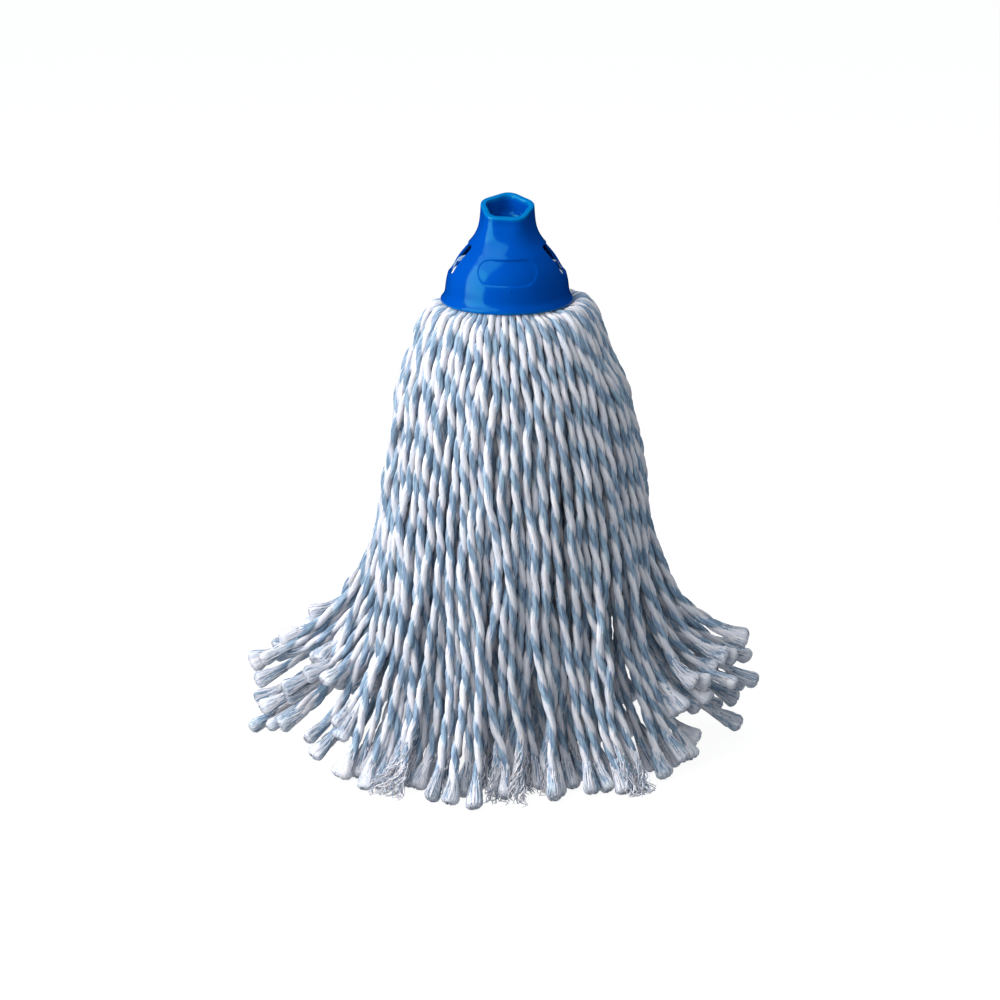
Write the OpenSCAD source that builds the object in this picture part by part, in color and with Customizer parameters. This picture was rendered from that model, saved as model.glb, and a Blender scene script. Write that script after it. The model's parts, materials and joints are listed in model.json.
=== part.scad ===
// Refill head of a string mop: a moulded handle socket, a retainer that clips
// into it from below, and a skirt of twisted yarn that hangs from its mouth.
// The head stands on its yarn. The origin is on the floor under the socket's
// axis, +Z is up, and the badge faces -Y.

/* [Overall] */
// Height of the socket's lip above the floor
lip_z = 274; // [260:1:300]
// Height of the socket from its lip to the middle of its rim
socket_h = 56; // [54:1:60]

/* [Socket] */
// Outer radius of the lip
lip_r = 39.5; // [38.5:0.5:41]
// Outer radius of the wide lower wall
shoulder_r = 37.8; // [37:0.2:38.4]
// Half the distance across the flats of the five-sided neck
neck_flat_r = 14.6; // [14.4:0.1:15.4]
// Radius over the rounded corners of the neck
neck_corner_r = 16.2; // [16:0.1:17]
// Turn of the neck's first corner from +X, in degrees
neck_turn = 13; // [0:1:72]
// Slope of the rim, high at the back, in degrees
rim_slope = 17.5; // [0:0.5:18]
// Wall thickness
wall = 2.2; // [1.8:0.1:2.6]
// Depth of the five-sided recess above the thread
recess_d = 7; // [5:0.5:9]

/* [Handle thread] */
// Bore radius over the crests of the thread
bore_r = 10.2; // [9.8:0.1:10.6]
// Depth of the thread groove behind the bore
thread_depth = 0.9; // [0.5:0.1:1.1]
// Pitch of the thread
thread_pitch = 5; // [4:0.5:6]
// Length of the threaded bore
bore_len = 26; // [24:1:28]

/* [Windows and badge] */
// Width of each side window
window_w = 25; // [20:1:26]
// Height of each side window
window_h = 17; // [14:1:18]
// Width of the blank badge
badge_w = 35; // [28:1:38]
// Height of the badge
badge_h = 14.5; // [12:0.5:16]
// Depth of the badge's recess
badge_d = 0.6; // [0.3:0.1:0.8]

/* [Retainer] */
// Radius to the middle of the retainer's ring
ring_r = 22; // [20:0.5:23]
// Thickness of the ring
ring_t = 5; // [4:0.5:5]
// Width of each latch arm
arm_w = 9; // [7:1:12]

/* [Yarn] */
// Number of yarn bundles around the outside
bundles = 16; // [12:1:20]
// Number of yarn bundles in the standing core
cores = 6; // [4:1:8]
// Radius of the skirt at its waist
waist_r = 76; // [70:1:80]
// Half the width of the foot, side to side
foot_x = 154; // [120:1:160]
// Half the depth of the foot, front to back
foot_y = 118; // [100:1:150]
// Share of the skirt's radius that the core fills
core_share = 0.62; // [0.5:0.01:0.68]

/* [Hidden] */
$fn = 64;

rim_z = lip_z + socket_h;
bore_top = rim_z - recess_d;
bore_foot = bore_top - bore_len;
sleeve_r = bore_r + thread_depth + 1.8;
window_z = lip_z + 25.5;
badge_z = lip_z + 22.2;

// the yarn's top plane, just under the lip, with the hinge line outside the lip
yarn_top = lip_z - 0.6;
hinge_r = lip_r + 2.5;
// where the bundles meet the core at the top, close enough to the hinge line
// for a bundle to swing out without pressing into the core
top_split_r = hinge_r - 10;
bulge_r = 3.6;
bundle_clear = 1.2;
side_gap = 0.6;
core_gap = 0.6;
flare_start = 110;
flare_end = 240;

function two_digits(n) = str(n < 10 ? "0" : "", n);
function bundle_name(n) = str("yarn_bundle_", two_digits(n));
function core_name(n) = str("yarn_core_", two_digits(n));

// ---- outlines -------------------------------------------------------------

// Outer radius of the bell at height h above the lip: an S curve from the
// neck to the shoulder, tighter above its middle, and a small flare at the lip
bend_h = 31; // height of the S curve's middle above the lip
function bend_w(h) = h < bend_h ? 6.9 : 5.6;
function bell_r(h) = neck_flat_r - 0.2
    + (shoulder_r - neck_flat_r - 0.5) / (1 + exp((h - bend_h) / bend_w(h)))
    + (lip_r - shoulder_r + 0.8) * exp(-pow(h / 2.9, 2));

bell_steps = [0, 1.2, 2.6, 4.2, 6.5, 10, 14, 18, 21, 24, 27, 30, 33, 36, 39, 42, 46, 51];

// Half of the bell's section, grown outwards by grow, from height low to the top
function bell_side(grow, low, high) = [
    for (h = bell_steps) if (h >= low && h <= high) [bell_r(h) + grow, lip_z + h]
];

// Radius of the skirt at depth d under the lip, for a foot that reaches foot
function flare(d, foot) = d < flare_start ? 0
    : (foot - waist_r) * pow((min(d, flare_end) - flare_start) / (flare_end - flare_start), 1.9);
function skirt_r(d, foot) = 47 + (waist_r - 47) * (1 - exp(-d / 45)) + flare(d, foot);

// Radius of the foot's oval in the direction a
function foot_r(a) = foot_x * foot_y / sqrt(pow(foot_y * cos(a), 2) + pow(foot_x * sin(a), 2));

skirt_steps = [12, 26, 45, 75, 110, 140, 165, 190, 215, 240];

// ---- shapes used more than once ---------------------------------------------

// Rounded pentagon with one corner at neck_turn
module pentagon(flat_r, corner_r) {
    intersection() {
        circle(corner_r);
        rotate(neck_turn)
            polygon([for (i = [0:4]) flat_r / cos(36) * [cos(72 * i), sin(72 * i)]]);
    }
}

// Rounded rectangle, centred
module rounded(w, h, r) {
    square([w - 2 * r, h], center = true);
    square([w, h - 2 * r], center = true);
    for (x = [-1, 1], z = [-1, 1])
        translate([x * (w / 2 - r), z * (h / 2 - r)]) circle(r);
}

// Pill outline, centred
module pill(w, h) {
    square([w - h, h], center = true);
    for (x = [-1, 1]) translate([x * (w - h) / 2, 0]) circle(h / 2);
}

// Solid of revolution inside the bell's outer surface, shrunk or grown
module bell_plug(grow, low, high) {
    rotate_extrude()
        polygon(concat([[0, lip_z + low]], bell_side(grow, low, high), [[0, lip_z + high]]));
}

// Half-space above the sloping rim
module above_rim() {
    translate([0, 0, rim_z]) rotate([rim_slope, 0, 0])
        translate([-30, -30, 0]) cube([60, 60, 30]);
}

// The two side windows, as bars that run through the wall
module window_bars() {
    for (x = [-1, 1])
        translate([x * 30, 0, window_z]) rotate([90, 0, 90])
            linear_extrude(24, center = true) rounded(window_w, window_h, 4);
}

// Helical groove of the handle thread: a four-sided section swept down the bore,
// starting above the bore so that a handle can enter it
module thread_groove() {
    steps = 16;
    groove_w = 0.6;
    rings = floor((bore_len - 2) / thread_pitch * steps);
    section = [
        [bore_r - 0.6, -groove_w],
        [bore_r + thread_depth, -groove_w / 2],
        [bore_r + thread_depth, groove_w / 2],
        [bore_r - 0.6, groove_w]
    ];
    points = [
        for (i = [0:rings], p = section)
            let (a = -i * 360 / steps, z = bore_top + 1 - i * thread_pitch / steps)
                [p[0] * cos(a), p[0] * sin(a), z + p[1]]
    ];
    sides = [
        for (i = [0:rings - 1], k = [0:3])
            let (a = 4 * i + k, b = 4 * i + (k + 1) % 4)
                each [[a, a + 4, b], [b, a + 4, b + 4]]
    ];
    last = 4 * rings;
    caps = [[0, 1, 2], [0, 2, 3], [last, last + 2, last + 1], [last, last + 3, last + 2]];
    polyhedron(points, concat(sides, caps));
}

// ---- socket -----------------------------------------------------------------

module bell_shell() {
    cavity_top = 42;
    difference() {
        union() {
            bell_plug(0, 0, 51);
            translate([0, 0, lip_z + 38]) linear_extrude(socket_h - 38 + 8)
                pentagon(neck_flat_r, neck_corner_r);
        }
        difference() {
            bell_plug(-wall, 0, cavity_top);
            translate([0, 0, bore_foot]) cylinder(r = sleeve_r, h = 60);
        }
        translate([0, 0, bore_top]) linear_extrude(30)
            pentagon(neck_flat_r - 3.2, neck_corner_r - 3.1);
        translate([0, 0, bore_foot - 1]) cylinder(r = bore_r, h = bore_len + 2);
        thread_groove();
        window_bars();
        above_rim();
    }
}

// Pill-shaped block that sinks the blank badge into the front wall
module badge_recess() {
    difference() {
        translate([0, -22, badge_z]) rotate([90, 0, 0]) linear_extrude(24)
            pill(badge_w, badge_h);
        bell_plug(-badge_d, 0, 46);
    }
}

module socket_bell() {
    color("royalblue")
        difference() {
            bell_shell();
            badge_recess();
        }
}

// ---- retainer ---------------------------------------------------------------

ring_z = lip_z + 6;
arm_top = window_z - window_h / 2 + 5;
arm_x = 31;

module retainer_ring(grow) {
    translate([0, 0, ring_z]) rotate_extrude()
        translate([ring_r, 0]) circle(ring_t / 2 + grow);
}

// One latch arm towards +X: a foot on the ring, a post and a barb in the window
module latch_arm(grow) {
    translate([ring_r, -arm_w / 2 - grow, ring_z - 2 - grow])
        cube([arm_x - ring_r, arm_w + 2 * grow, 4 + 2 * grow]);
    translate([arm_x - 3, arm_w / 2 + grow, ring_z - 2 - grow]) rotate([90, 0, 0])
        linear_extrude(arm_w + 2 * grow)
            polygon([
                [0 - grow, 0],
                [2.4 + grow, 0],
                [2.4 + grow, arm_top - 6 - ring_z],
                [4.6 + grow, arm_top - 4.5 - ring_z],
                [1.6 + grow, arm_top + 2 - ring_z + 2 * grow],
                [0 - grow, arm_top + 2 - ring_z + 2 * grow]
            ]);
}

module retainer_shape(grow) {
    retainer_ring(grow);
    for (a = [0, 180]) rotate(a) latch_arm(grow);
}

module yarn_retainer() {
    color("mediumblue") retainer_shape(0);
}

// ---- yarn -------------------------------------------------------------------

// Folded middles of all the strands, packed in the bell around the ring
module yarn_crown() {
    color("lightsteelblue")
        difference() {
            bell_plug(-wall - 0.4, 0, 30);
            translate([0, 0, bore_foot - 0.4]) cylinder(r = sleeve_r + 0.4, h = 60);
            retainer_shape(0.15);
            translate([0, 0, lip_z - 5]) cube([100, 100, 9.2], center = true);
        }
}

// Section of the standing core, from near the axis to its share of the skirt
function core_outline(foot) = concat(
    [[2, 0], [2, yarn_top]],
    [[top_split_r - core_gap, yarn_top]],
    [for (d = skirt_steps) [core_share * skirt_r(d, foot) - core_gap, lip_z - d]],
    [[core_share * foot - core_gap, 0]]
);

// Section of an outer bundle: flat top, a bulge past the lip, the skirt and the foot
function bundle_outline(foot) = concat(
    [[top_split_r, yarn_top]],
    [for (a = [180:-30:30]) [
        hinge_r + bulge_r * (1 + cos(a)),
        yarn_top - 0.8 + bulge_r * sin(a)
    ]],
    [for (d = skirt_steps) [skirt_r(d, foot), lip_z - d]],
    [[foot, bundle_clear], [core_share * foot_y, bundle_clear]],
    [for (i = [len(skirt_steps) - 1:-1:0])
        [core_share * skirt_r(skirt_steps[i], foot_y), lip_z - skirt_steps[i]]]
);

module yarn_core(n) {
    turn = 360 / cores;
    color("lightsteelblue") rotate((n - 1) * turn + side_gap / 2)
        rotate_extrude(angle = turn - side_gap) polygon(core_outline(foot_y));
}

module yarn_bundle(n) {
    turn = 360 / bundles;
    middle = (n - 1) * turn;
    color(n % 2 == 0 ? "lightblue" : "aliceblue") rotate(middle - turn / 2 + side_gap)
        rotate_extrude(angle = turn - 2 * side_gap) polygon(bundle_outline(foot_r(middle)));
}

socket_bell();
yarn_retainer();
yarn_crown();
for (n = [1:cores])
    yarn_core(n);
for (n = [1:bundles])
    yarn_bundle(n);
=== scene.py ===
"""Looks of a string mop head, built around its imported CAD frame.

The frame holds the moulded bell, the retainer and one solid for each bundle of yarn. This script gives
the bell its moulded shape and fills each bundle's space with twisted two-ply strands that end in frayed
brushes or loose threads. Lengths are in millimetres until a mesh is written; meshes, the camera and the
lights are in metres.
"""

import json
import math

import bmesh
import bpy
import numpy as np
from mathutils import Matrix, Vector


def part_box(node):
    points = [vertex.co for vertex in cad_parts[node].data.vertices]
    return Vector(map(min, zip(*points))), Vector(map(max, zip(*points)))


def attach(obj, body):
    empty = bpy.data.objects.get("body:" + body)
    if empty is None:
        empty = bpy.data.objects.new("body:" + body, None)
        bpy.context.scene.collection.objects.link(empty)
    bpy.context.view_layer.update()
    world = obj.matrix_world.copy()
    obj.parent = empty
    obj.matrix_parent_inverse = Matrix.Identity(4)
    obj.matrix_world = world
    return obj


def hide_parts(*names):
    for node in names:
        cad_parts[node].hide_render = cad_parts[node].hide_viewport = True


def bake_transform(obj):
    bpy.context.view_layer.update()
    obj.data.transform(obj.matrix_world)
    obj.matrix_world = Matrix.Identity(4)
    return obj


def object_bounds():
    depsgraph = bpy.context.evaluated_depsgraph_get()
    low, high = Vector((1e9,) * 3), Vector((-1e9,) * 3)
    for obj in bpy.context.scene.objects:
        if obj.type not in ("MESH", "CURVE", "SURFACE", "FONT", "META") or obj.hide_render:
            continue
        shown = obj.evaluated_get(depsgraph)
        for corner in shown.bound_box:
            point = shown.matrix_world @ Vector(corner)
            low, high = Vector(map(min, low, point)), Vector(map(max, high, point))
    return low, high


MM = 0.001
TAU = 2 * math.pi
rng = np.random.default_rng(11)

# ---- the frame ----------------------------------------------------------------------------------------

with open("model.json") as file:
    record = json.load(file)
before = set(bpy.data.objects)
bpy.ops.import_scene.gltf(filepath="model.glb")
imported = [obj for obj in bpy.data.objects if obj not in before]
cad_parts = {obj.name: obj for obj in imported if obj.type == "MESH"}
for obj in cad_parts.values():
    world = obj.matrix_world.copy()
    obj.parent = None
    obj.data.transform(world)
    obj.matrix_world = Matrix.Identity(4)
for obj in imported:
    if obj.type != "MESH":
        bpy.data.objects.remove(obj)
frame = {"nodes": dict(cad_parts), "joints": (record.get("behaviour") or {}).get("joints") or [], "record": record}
cad_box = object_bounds()
bell_low, bell_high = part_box("socket_bell")
LIP_Z = bell_low.z / MM
LIP_R = bell_high.x / MM
BORE_TOP = next(m for m in frame["record"]["mounts"] if m["name"] == "handle_socket")["pos_m"][2] / MM
RECESS = 7.0
RIM_Z = BORE_TOP + RECESS
FOOT_X = max(abs(cad_box[0][0]), abs(cad_box[1][0])) / MM
FOOT_Y = max(abs(cad_box[0][1]), abs(cad_box[1][1])) / MM
HINGES = {j["child"]: j for j in frame["joints"]}
BUNDLES = sorted(HINGES)
CORES = sorted(n for n in frame["nodes"] if n.startswith("yarn_core_"))


def smooth(x):
    """0 to 1 with level ends."""
    x = np.clip(x, 0.0, 1.0)
    return x * x * (3 - 2 * x)


def foot_reach(phi):
    """Radius at which the ends lie in the direction phi: a round foot with a long tuft to each side."""
    off = abs(math.remainder(phi, math.pi))
    tuft = 0.21 * FOOT_X * math.exp(-((off / 0.2) ** 2))
    return FOOT_Y * (0.94 + 0.11 * smooth((math.pi / 2 - off) / 0.7)) + tuft


# ---- camera and light ---------------------------------------------------------------------------------


def make_camera():
    """Long lens, 16 degrees above the horizon, looking along +Y at the middle of the head."""
    elevation = math.radians(16)
    distance = 2.4
    view_width = 0.6
    sensor = 36
    aim = np.array([-0.0042, 0.0, 0.1503])
    data = bpy.data.cameras.new("camera")
    data.sensor_width = sensor
    data.lens = sensor * distance / view_width
    camera = bpy.data.objects.new("camera", data)
    camera.location = aim + distance * np.array([0, -math.cos(elevation), math.sin(elevation)])
    camera.rotation_euler = (math.pi / 2 - elevation, 0, 0)
    bpy.context.scene.collection.objects.link(camera)
    bpy.context.scene.camera = camera


def area_light(name, place, aim, size, power, colour=(1, 1, 1)):
    """Rectangular soft box at place, facing aim."""
    data = bpy.data.lights.new(name, "AREA")
    data.shape = "RECTANGLE"
    data.size, data.size_y = size
    data.energy = power
    data.color = colour
    light = bpy.data.objects.new(name, data)
    light.location = place
    look = Vector(aim) - Vector(place)
    light.rotation_euler = look.to_track_quat("-Z", "Y").to_euler()
    bpy.context.scene.collection.objects.link(light)
    return light


def make_stage():
    """White floor, pale world and four soft boxes, of which the left one is the strongest.

    The floor, the world, the fill and the back light stay out of reflections.
    """
    bpy.ops.mesh.primitive_plane_add(size=30, location=(0, 0, 0))
    floor = bpy.context.object
    floor.name = "floor"
    material = bpy.data.materials.new("floor_white")
    material.use_nodes = True
    shader = material.node_tree.nodes["Principled BSDF"]
    shader.inputs["Base Color"].default_value = (0.12, 0.12, 0.12, 1)
    shader.inputs["Roughness"].default_value = 0.9
    shader.inputs["Specular IOR Level"].default_value = 0.1
    shader.inputs["Emission Color"].default_value = (1, 1, 1, 1)
    shader.inputs["Emission Strength"].default_value = 0.93
    floor.data.materials.append(material)
    floor.visible_diffuse = False
    floor.visible_glossy = False
    world = bpy.data.worlds.new("world")
    world.use_nodes = True
    background = world.node_tree.nodes["Background"]
    background.inputs["Color"].default_value = (0.86, 0.94, 1.0, 1)
    background.inputs["Strength"].default_value = 0.46
    bpy.context.scene.world = world
    world.cycles_visibility.glossy = False
    area_light("key_left", (-1.25, -0.62, 0.8), (0, 0, 0.2), (1.1, 1.3), 28)
    area_light("key_high", (-0.57, -0.28, 1.56), (0, 0, 0.2), (1.1, 0.95), 11)
    fill = area_light("fill_front", (-0.7, -2.3, 1.5), (0, 0, 0.15), (1.8, 1.4), 17)
    fill.visible_glossy = False
    back = area_light("top_back", (-0.1, 0.75, 1.6), (0, 0, 0.2), (1.2, 1.2), 5)
    back.visible_glossy = False
    bpy.context.scene.view_settings.view_transform = "Standard"


make_camera()
make_stage()

# ---- materials ----------------------------------------------------------------------------------------


class Nodes:
    """Small helper that adds and links shader nodes."""

    def __init__(self, name):
        self.material = bpy.data.materials.new(name)
        self.material.use_nodes = True
        self.tree = self.material.node_tree
        self.shader = self.tree.nodes["Principled BSDF"]

    def add(self, kind, inputs=None, **settings):
        node = self.tree.nodes.new(kind)
        for key, value in settings.items():
            setattr(node, key, value)
        for key, value in (inputs or {}).items():
            if isinstance(value, bpy.types.NodeSocket):
                self.tree.links.new(value, node.inputs[key])
            else:
                node.inputs[key].default_value = value
        return node

    def set(self, **values):
        for key, value in values.items():
            self.shader.inputs[key.replace("_", " ")].default_value = value

    def link(self, socket, name):
        self.tree.links.new(socket, self.shader.inputs[name])

    def mix(self, factor, a, b):
        """Colour between a and b. Inputs 6 and 7 and output 2 are the node's colour sockets."""
        node = self.add("ShaderNodeMix", {"Factor": factor}, data_type="RGBA")
        for key, value in ((6, a), (7, b)):
            if isinstance(value, bpy.types.NodeSocket):
                self.tree.links.new(value, node.inputs[key])
            else:
                node.inputs[key].default_value = (*value, 1)
        return node.outputs[2]

    def maths(self, operation, a, b):
        node = self.add("ShaderNodeMath", {0: a, 1: b}, operation=operation)
        return node.outputs[0]

    def weighted(self, a, share_a, b, share_b):
        """Sum of a and b, each times its share."""
        part_a = self.maths("MULTIPLY", a, share_a)
        part_b = self.maths("MULTIPLY", b, share_b)
        return self.maths("ADD", part_a, part_b)


def yarn_material():
    """Spun yarn: a white and a blue ply, streaked by fibres along the twist, in the strand's own tone, with
    painted light on the frayed ends.
    """
    n = Nodes("yarn")
    along = n.add("ShaderNodeAttribute", attribute_name="yarn_co").outputs["Vector"]
    tone = n.add("ShaderNodeAttribute", attribute_name="tone").outputs["Fac"]
    ply = n.add("ShaderNodeAttribute", attribute_name="ply").outputs["Fac"]
    stretch = n.add("ShaderNodeMapping", {"Vector": along, "Scale": (0.8, 0.8, 0.085)})
    fibres = n.add("ShaderNodeTexNoise", {"Vector": stretch.outputs[0], "Scale": 1.0, "Detail": 2.0})
    fine = n.add("ShaderNodeMapping", {"Vector": along, "Scale": (2.4, 2.4, 0.22)})
    hairs = n.add("ShaderNodeTexNoise", {"Vector": fine.outputs[0], "Scale": 1.0, "Detail": 2.0})
    slubs = n.add("ShaderNodeTexNoise", {"Vector": along, "Scale": 0.11, "Detail": 2.0})
    jagged = n.weighted(fibres.outputs[0], 1.3, hairs.outputs[0], 1.3)
    edge = n.maths("ADD", ply, n.maths("SUBTRACT", jagged, 1.22))
    which = n.add("ShaderNodeMapRange", {"Value": edge, "From Min": -0.36, "From Max": 0.36})
    streaks = n.weighted(fibres.outputs[0], 0.75, hairs.outputs[0], 0.25)
    streak = n.add("ShaderNodeMapRange", {"Value": streaks, "From Min": 0.43, "From Max": 0.56})
    hue = n.add("ShaderNodeMapRange", {"Value": slubs.outputs[0], "From Min": 0.38, "From Max": 0.62})
    blue_pale = n.mix(hue.outputs[0], (0.305, 0.395, 0.515), (0.285, 0.40, 0.495))
    blue = n.mix(streak.outputs[0], (0.14, 0.21, 0.31), blue_pale)
    white_pale = n.mix(hue.outputs[0], (0.70, 0.665, 0.69), (0.665, 0.67, 0.695))
    white = n.mix(streak.outputs[0], (0.52, 0.535, 0.61), white_pale)
    colour = n.mix(which.outputs[0], blue, white)
    # The tone attribute holds each strand's random tone plus the light painted on its frayed end.
    shade = n.add("ShaderNodeMapRange", {"Value": tone, "To Min": 0.9, "To Max": 1.06}, clamp=False)
    hsv = n.add("ShaderNodeHueSaturation", {"Color": colour, "Value": shade.outputs[0]})
    n.link(hsv.outputs[0], "Base Color")
    height = n.maths("ADD", fibres.outputs[0], n.maths("MULTIPLY", hairs.outputs[0], 0.6))
    bump = n.add("ShaderNodeBump", {"Height": height, "Strength": 0.7, "Distance": 0.0006})
    n.link(bump.outputs[0], "Normal")
    n.set(Roughness=1.0, Specular_IOR_Level=0.04, Sheen_Weight=0.06, Sheen_Roughness=0.5)
    return n.material


def plastic_material(name, colour, roughness):
    """Moulded polypropylene: a deep colour, a painted highlight on the rim's top and a paler lip edge, a faint
    ripple and scuffs.
    """
    n = Nodes(name)
    place = n.add("ShaderNodeTexCoord").outputs["Object"]
    flow = n.add("ShaderNodeTexNoise", {"Vector": place, "Scale": 60.0, "Detail": 3.0})
    tint = n.add("ShaderNodeMapRange", {"Value": flow.outputs[0], "From Min": 0.3, "From Max": 0.7})
    paler = tuple(1.1 * c for c in colour)
    # Painted highlight: the rim's top face is painted a paler cyan, and the lip's lowest edge about half as much.
    rim_highlight_lip_pale = n.add("ShaderNodeAttribute", attribute_name="rim_highlight_lip_pale").outputs["Fac"]
    glow = (colour[0], 2.5 * colour[1], 1.2 * colour[2])
    n.link(n.mix(rim_highlight_lip_pale, n.mix(tint.outputs[0], colour, paler), glow), "Base Color")
    grain = {"Scale": 420.0, "Detail": 4.0, "Roughness": 0.7}
    scuffs = n.add("ShaderNodeTexNoise", {"Vector": place, **grain})
    scuffed = {"From Min": 0.35, "From Max": 0.8, "To Min": roughness, "To Max": roughness + 0.12}
    rough = n.add("ShaderNodeMapRange", {"Value": scuffs.outputs[0], **scuffed})
    n.link(rough.outputs[0], "Roughness")
    ripple = n.add("ShaderNodeTexNoise", {"Vector": place, "Scale": 160.0, "Detail": 1.0})
    bump = n.add("ShaderNodeBump", {"Height": ripple.outputs[0], "Strength": 0.05, "Distance": 0.0006})
    n.link(bump.outputs[0], "Normal")
    n.set(IOR=1.45, Specular_IOR_Level=0.33, Specular_Tint=(0.1, 1.0, 0.6, 1))
    return n.material


YARN = yarn_material()
SOCKET_PLASTIC = plastic_material("socket_blue", (0.0, 0.053, 0.32), 0.1)
RETAINER_PLASTIC = plastic_material("retainer_blue", (0.0, 0.034, 0.22), 0.25)

# ---- mesh helpers -------------------------------------------------------------------------------------


class MeshParts:
    """Collects vertices, faces and the yarn's attributes, and writes them as one object."""

    def __init__(self):
        self.points, self.quads, self.tris = [], [], []
        self.place, self.tone, self.ply = [], [], []
        self.count = 0

    def add(self, points, quads, tris, place, ply, tone):
        """points, place: (n, 3); ply, tone: (n,). Face indices count from this part's own first point."""
        self.points.append(points)
        self.quads.append(quads + self.count)
        self.tris.append(tris + self.count)
        self.place.append(place)
        self.ply.append(ply)
        self.tone.append(tone)
        self.count += len(points)

    def build(self, name):
        points = np.concatenate(self.points) * MM
        # The frames along a path are left-handed, so the faces are turned over to look outwards.
        quads, tris = np.concatenate(self.quads)[:, ::-1], np.concatenate(self.tris)[:, ::-1]
        mesh = bpy.data.meshes.new(name)
        mesh.vertices.add(len(points))
        mesh.vertices.foreach_set("co", points.astype(np.float32).ravel())
        corners = np.concatenate([quads.ravel(), tris.ravel()]).astype(np.int32)
        sizes = np.concatenate([np.full(len(quads), 4), np.full(len(tris), 3)]).astype(np.int32)
        starts = np.concatenate([[0], np.cumsum(sizes)[:-1]]).astype(np.int32)
        mesh.loops.add(len(corners))
        mesh.loops.foreach_set("vertex_index", corners)
        mesh.polygons.add(len(sizes))
        mesh.polygons.foreach_set("loop_start", starts)
        mesh.polygons.foreach_set("use_smooth", np.ones(len(sizes), bool))
        place = mesh.attributes.new("yarn_co", "FLOAT_VECTOR", "POINT")
        place.data.foreach_set("vector", np.concatenate(self.place).astype(np.float32).ravel())
        for key, values in (("ply", self.ply), ("tone", self.tone)):
            attribute = mesh.attributes.new(key, "FLOAT", "POINT")
            attribute.data.foreach_set("value", np.concatenate(values).astype(np.float32))
        mesh.update(calc_edges=True)
        mesh.validate()
        mesh.materials.append(YARN)
        piece = bpy.data.objects.new(name, mesh)
        bpy.context.scene.collection.objects.link(piece)
        return piece


def grid_faces(rings, columns):
    """Quads between the rings of a tube, with its columns closed round each ring."""
    k, c = np.meshgrid(np.arange(rings - 1), np.arange(columns), indexing="ij")
    n = (c + 1) % columns
    near, far = k * columns, (k + 1) * columns
    faces = np.stack([near + c, near + n, far + n, far + c], -1)
    return faces.reshape(-1, 4)


def frames_along(path):
    """Tangent and two normals at each point of many paths at once, turned as little as possible."""
    tangent = np.gradient(path, axis=1)
    tangent /= np.linalg.norm(tangent, axis=2, keepdims=True)
    normal = np.empty_like(path)
    first = np.cross(tangent[:, 0], [0.0, 1.0, 0.0])
    weak = np.linalg.norm(first, axis=1) < 0.2
    first[weak] = np.cross(tangent[weak, 0], [1.0, 0.0, 0.0])
    normal[:, 0] = first / np.linalg.norm(first, axis=1, keepdims=True)
    for k in range(1, path.shape[1]):
        v = normal[:, k - 1]
        v = v - np.sum(v * tangent[:, k], 1, keepdims=True) * tangent[:, k]
        normal[:, k] = v / np.linalg.norm(v, axis=1, keepdims=True)
    return tangent, normal, -np.cross(tangent, normal)


def resample(path, count):
    """Points at even arc length on a smooth curve through each path's own points."""
    strands, points = path.shape[:2]
    before = 2 * path[:, :1] - path[:, 1:2]
    after = 2 * path[:, -1:] - path[:, -2:-1]
    padded = np.concatenate([before, path, after], 1)
    fine = 4
    t = np.arange(fine) / fine
    a, b, c, d = padded[:, :-3], padded[:, 1:-2], padded[:, 2:-1], padded[:, 3:]
    t = t[None, None, :, None]
    a, b, c, d = (x[:, :, None] for x in (a, b, c, d))
    square, cube = 2 * a - 5 * b + 4 * c - d, 3 * b - a - 3 * c + d
    curve = 0.5 * (2 * b + (c - a) * t + square * t**2 + cube * t**3)
    curve = np.concatenate([curve.reshape(strands, -1, 3), path[:, -1:]], 1)
    steps = np.linalg.norm(np.diff(curve, axis=1), axis=2)
    arc = np.concatenate([np.zeros((strands, 1)), np.cumsum(steps, 1)], 1)
    out = np.empty((strands, count, 3))
    for i in range(strands):
        wanted = np.linspace(0, arc[i, -1], count)
        for axis in range(3):
            out[i, :, axis] = np.interp(wanted, arc[i], curve[i, :, axis])
    return out, arc[:, -1]


# ---- yarn strands -------------------------------------------------------------------------------------

YARN_R = 2.6
PLY_PITCH = 24.5
GROOVE = 0.34
GROOVE_WIDTH = 0.6
MOUTH_YARN_R = 1.75
MOUTH_LEN = 24
STRAND_LEN = 285
PLY_COLUMNS = np.array([0.0, 0.07, 0.2, 0.39, 0.61, 0.8, 0.93]) * math.pi
COLUMN_ANGLE = np.concatenate([PLY_COLUMNS, PLY_COLUMNS + math.pi])
RING_STEP = 1.9
FLARE_LEN = 20
# Painted light: how much lighter a strand's frayed end and its hairs are painted, against the shade among the
# hairs.
END_PAINTED_LIGHT = 0.45
FUZZ_COUNT = 4
# Least heights over the floor of a strand's path, of its end's hairs and of its stray hairs.
PATH_LOW, HAIR_LOW, FUZZ_LOW = 0.3, 0.65, 0.2


def section_radius(angle):
    """Radius of the two-ply section, 1 at the middle of each ply and less in the grooves between them."""
    off = np.abs((angle + math.pi / 2) % math.pi - math.pi / 2)
    return 1 - GROOVE * np.exp(-((off / GROOVE_WIDTH) ** 2))


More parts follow.
